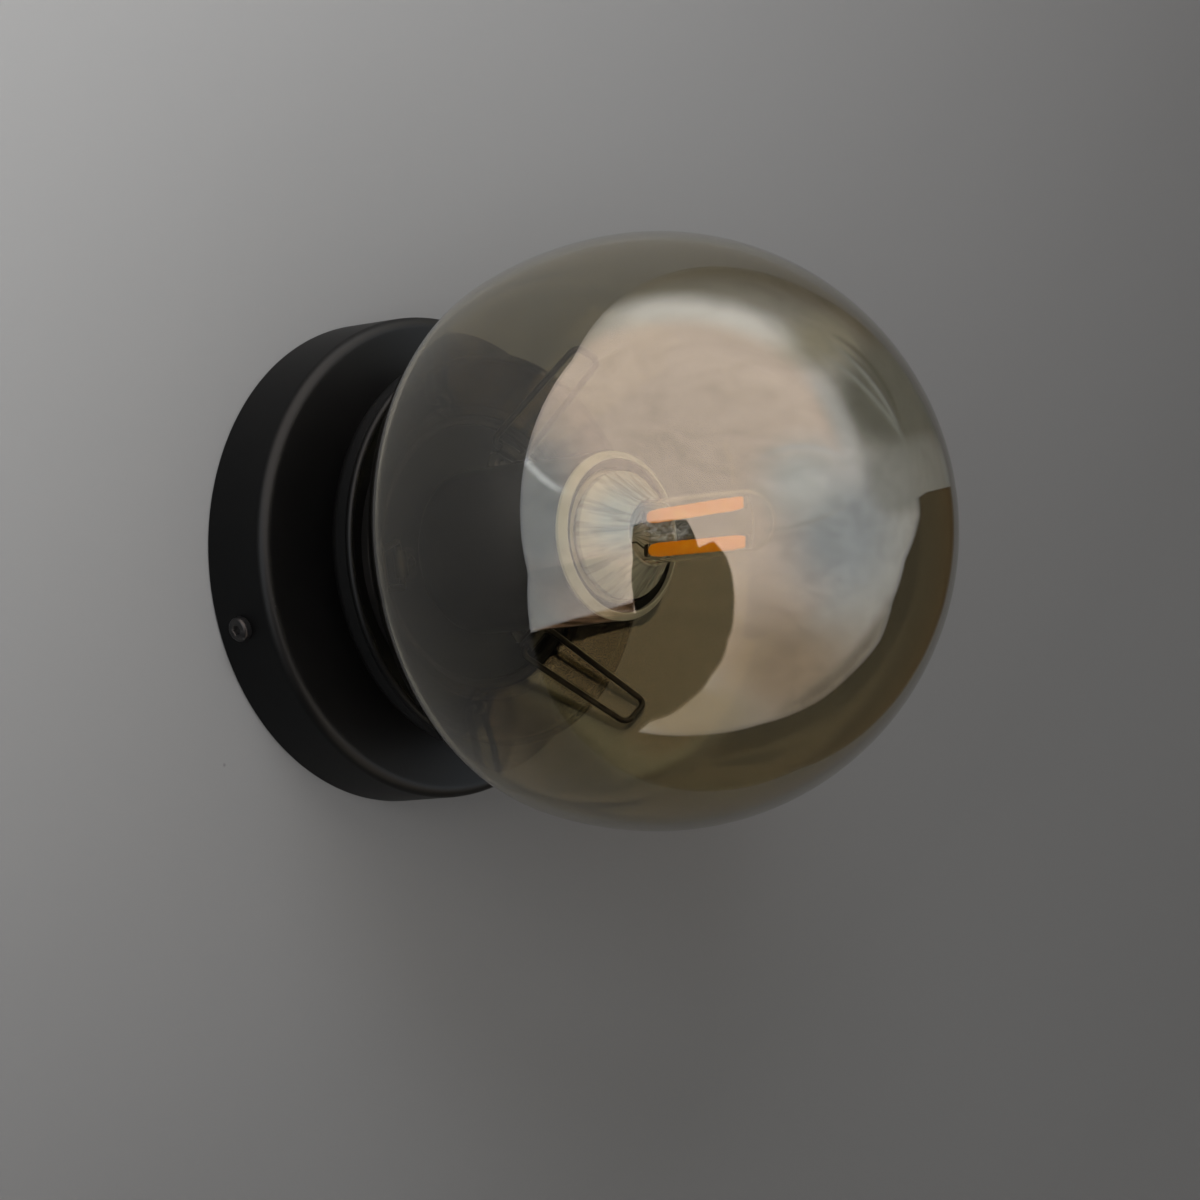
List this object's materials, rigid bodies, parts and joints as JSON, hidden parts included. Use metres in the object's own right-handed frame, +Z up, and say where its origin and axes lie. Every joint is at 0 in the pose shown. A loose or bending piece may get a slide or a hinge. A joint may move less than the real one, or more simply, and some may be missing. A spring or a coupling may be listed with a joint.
{
  "type": "globe wall sconce",
  "caption": "Wall lamp with a round black canopy, a shallow dish and a smoke glass globe held by wire spring clips round a capsule bulb.",
  "frame": {"origin": "centre of the canopy's open back edge, on the wall plane, which is also the centre of the two wall screw holes", "axes": "+Z up, the lamp axis along Y and pointing out of the wall towards -Y, +X to the right as seen from the room with the wall behind the lamp"},
  "size_m": [0.15, 0.174, 0.15],
  "materials": {
    "zinc_steel": "zinc plated, slightly dull",
    "black_rubber": "matt moulded",
    "brass": "bright turned",
    "ivory_nylon": "moulded nylon",
    "black_coat": "fine matt black powder coat",
    "black_oxide": "blackened steel, low gloss",
    "tinned": "tinned, satin",
    "white_enamel": "white enamel, glossy",
    "silicone": "soft dark silicone",
    "porcelain": "white glaze",
    "brown_sleeve": "silicone sleeve, brown",
    "blue_sleeve": "silicone sleeve, blue",
    "green_sleeve": "silicone sleeve, green and yellow",
    "spring_wire": "blackened spring wire",
    "smoke_glass": "blown smoke glass with a thin mirror film",
    "clear_glass": "clear capsule",
    "white_ceramic": "glossy white",
    "phosphor": "amber phosphor coat"
  },
  "bodies": {
    "sconce": {"wall_bracket": "zinc_steel", "cable_grommet": "black_rubber", "earth_screw": "brass", "earth_washer": "brass", "terminal_block": "ivory_nylon", "terminal_tubes": "brass", "terminal_screws": "zinc_steel", "block_screws": "zinc_steel", "canopy": "black_coat", "side_screws": "black_oxide", "canopy_nut": "zinc_steel", "canopy_washer": "zinc_steel", "earth_tag": "tinned", "nipple": "brass", "spacer_collar": "black_coat", "shade_dish": "black_coat", "glass_gasket": "silicone", "lamp_cup": "black_coat", "mouth_ring": "white_enamel", "cup_washer": "zinc_steel", "cup_nut": "zinc_steel", "lampholder_strap": "zinc_steel", "lampholder": "porcelain", "lampholder_screws": "zinc_steel", "pin_contacts": "brass", "live_lead": "brown_sleeve", "neutral_lead": "blue_sleeve", "earth_lead": "green_sleeve", "clip_leaf_a": "black_oxide", "clip_leaf_b": "black_oxide", "clip_leaf_c": "black_oxide", "clip_rivets": "black_oxide"},
    "globe": {"glass_globe": "smoke_glass"},
    "bulb": {"bulb_collar": "white_ceramic", "bulb_glass": "clear_glass", "bulb_pins": "tinned", "filament_upper": "phosphor", "filament_lower": "phosphor", "filament_wires": "tinned"},
    "clip_a": {"clip_wire_a": "spring_wire"},
    "clip_b": {"clip_wire_b": "spring_wire"},
    "clip_c": {"clip_wire_c": "spring_wire"}
  },
  "joints": [
    {"name": "globe_pull", "type": "slide", "parent": "sconce", "child": "globe", "axis": [0, -1, 0], "range_m": [0, 0.0155]},
    {"name": "bulb_pull", "type": "slide", "parent": "sconce", "child": "bulb", "axis": [0, -1, 0], "range_m": [0, 0.027]},
    {"name": "clip_a_fold", "type": "hinge", "parent": "sconce", "child": "clip_a", "pos_m": [0.01927, -0.0349, -0.0214], "axis": [-0.7431, 0, -0.6691], "range_deg": [0, 42], "stiffness_Nm_per_rad": 0.06, "springref_deg": -38.22},
    {"name": "clip_b_fold", "type": "hinge", "parent": "sconce", "child": "clip_b", "pos_m": [0.0089, -0.0349, 0.02739], "axis": [0.9511, 0, -0.309], "range_deg": [0, 42], "stiffness_Nm_per_rad": 0.06, "springref_deg": -38.22},
    {"name": "clip_c_fold", "type": "hinge", "parent": "sconce", "child": "clip_c", "pos_m": [-0.02817, -0.0349, -0.00599], "axis": [-0.2079, 0, 0.9781], "range_deg": [0, 42], "stiffness_Nm_per_rad": 0.06, "springref_deg": -38.22}
  ],
  "couplings": [
    {"joint": "clip_a_fold", "follows": "globe_pull", "rad_per_m": 47.124},
    {"joint": "clip_b_fold", "follows": "globe_pull", "rad_per_m": 47.124},
    {"joint": "clip_c_fold", "follows": "globe_pull", "rad_per_m": 47.124}
  ]
}
